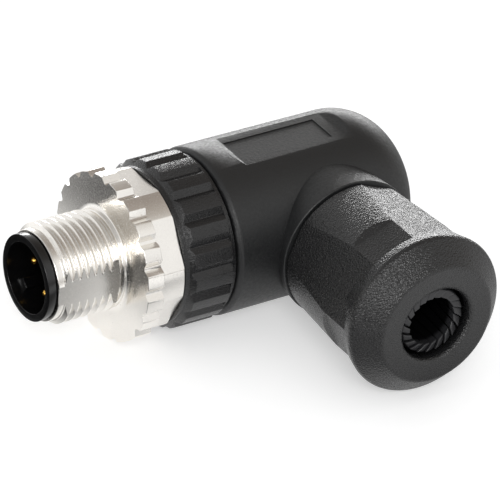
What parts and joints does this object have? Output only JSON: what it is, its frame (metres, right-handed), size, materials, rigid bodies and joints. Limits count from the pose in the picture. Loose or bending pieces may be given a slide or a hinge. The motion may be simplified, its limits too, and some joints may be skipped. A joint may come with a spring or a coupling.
{
  "type": "angled circular connector",
  "caption": "Angled M12 plug with a threaded coupling screw, a clamping ring, an elbow housing with a label field, and a cable gland that closes by a nut.",
  "frame": {"origin": "centre of the mating face, at the front edge of the shroud, on the nose's axis", "axes": "+X along the nose into the connector, -Y out of the cable entry, +Z out of the label field"},
  "size_m": [0.0487, 0.0392, 0.02],
  "materials": {
    "nickel_plate": "satin nickel plate on a die-cast body",
    "spring_steel": "ground",
    "screw_plate": "nickel plate",
    "gold_plate": "gold plate",
    "insert_plastic": "smooth black moulding",
    "housing_plastic": "fine matt black moulding",
    "textured_plastic": "coarse spark-eroded black moulding",
    "cage_plastic": "smooth dark moulding",
    "seal_rubber": "soft black rubber"
  },
  "bodies": {
    "housing": {"angle_housing": "housing_plastic", "cable_seal": "seal_rubber"},
    "insert": {"contact_carrier": "insert_plastic", "contact_pin_1": "gold_plate", "contact_pin_2": "gold_plate", "contact_pin_3": "gold_plate", "contact_pin_4": "gold_plate", "retaining_clip": "spring_steel", "carrier_seal": "seal_rubber"},
    "union_ring": {"union_ring": "textured_plastic"},
    "coupling_screw": {"coupling_screw": "nickel_plate"},
    "terminal_screw_1": {"terminal_screw_1": "screw_plate"},
    "terminal_screw_2": {"terminal_screw_2": "screw_plate"},
    "terminal_screw_3": {"terminal_screw_3": "screw_plate"},
    "terminal_screw_4": {"terminal_screw_4": "screw_plate"},
    "clamp_cage": {"clamp_cage": "cage_plastic"},
    "gland_nut": {"gland_nut": "textured_plastic"}
  },
  "joints": [
    {"name": "insert_slide", "type": "slide", "parent": "housing", "child": "insert", "axis": [-1, 0, 0], "range_m": [0, 0.0025]},
    {"name": "union_turn", "type": "hinge", "parent": "insert", "child": "union_ring", "pos_m": [0.0187, 0, 0], "axis": [-1, 0, 0], "range_deg": [0, 900]},
    {"name": "coupling_turn", "type": "hinge", "parent": "insert", "child": "coupling_screw", "pos_m": [0.008, 0, 0], "axis": [-1, 0, 0], "continuous": true},
    {"name": "terminal_turn_1", "type": "hinge", "parent": "insert", "child": "terminal_screw_1", "pos_m": [0.0266, 0.005, 0], "axis": [0, 1, 0], "range_deg": [0, 720]},
    {"name": "terminal_turn_2", "type": "hinge", "parent": "insert", "child": "terminal_screw_2", "pos_m": [0.0266, 0, -0.005], "axis": [0, 0, -1], "range_deg": [0, 720]},
    {"name": "terminal_turn_3", "type": "hinge", "parent": "insert", "child": "terminal_screw_3", "pos_m": [0.0266, -0.005, 0], "axis": [0, -1, 0], "range_deg": [0, 720]},
    {"name": "terminal_turn_4", "type": "hinge", "parent": "insert", "child": "terminal_screw_4", "pos_m": [0.0266, 0, 0.005], "axis": [0, 0, 1], "range_deg": [0, 720]},
    {"name": "cage_slide", "type": "slide", "parent": "housing", "child": "clamp_cage", "axis": [0, -1, 0], "range_m": [0, 0.005]},
    {"name": "nut_turn", "type": "hinge", "parent": "clamp_cage", "child": "gland_nut", "pos_m": [0.0362, -0.02, 0], "axis": [0, -1, 0], "range_deg": [0, 1800]}
  ],
  "couplings": [
    {"joint": "union_turn", "follows": "insert_slide", "rad_per_m": 6283.2},
    {"joint": "nut_turn", "follows": "cage_slide", "rad_per_m": 6283.2}
  ]
}
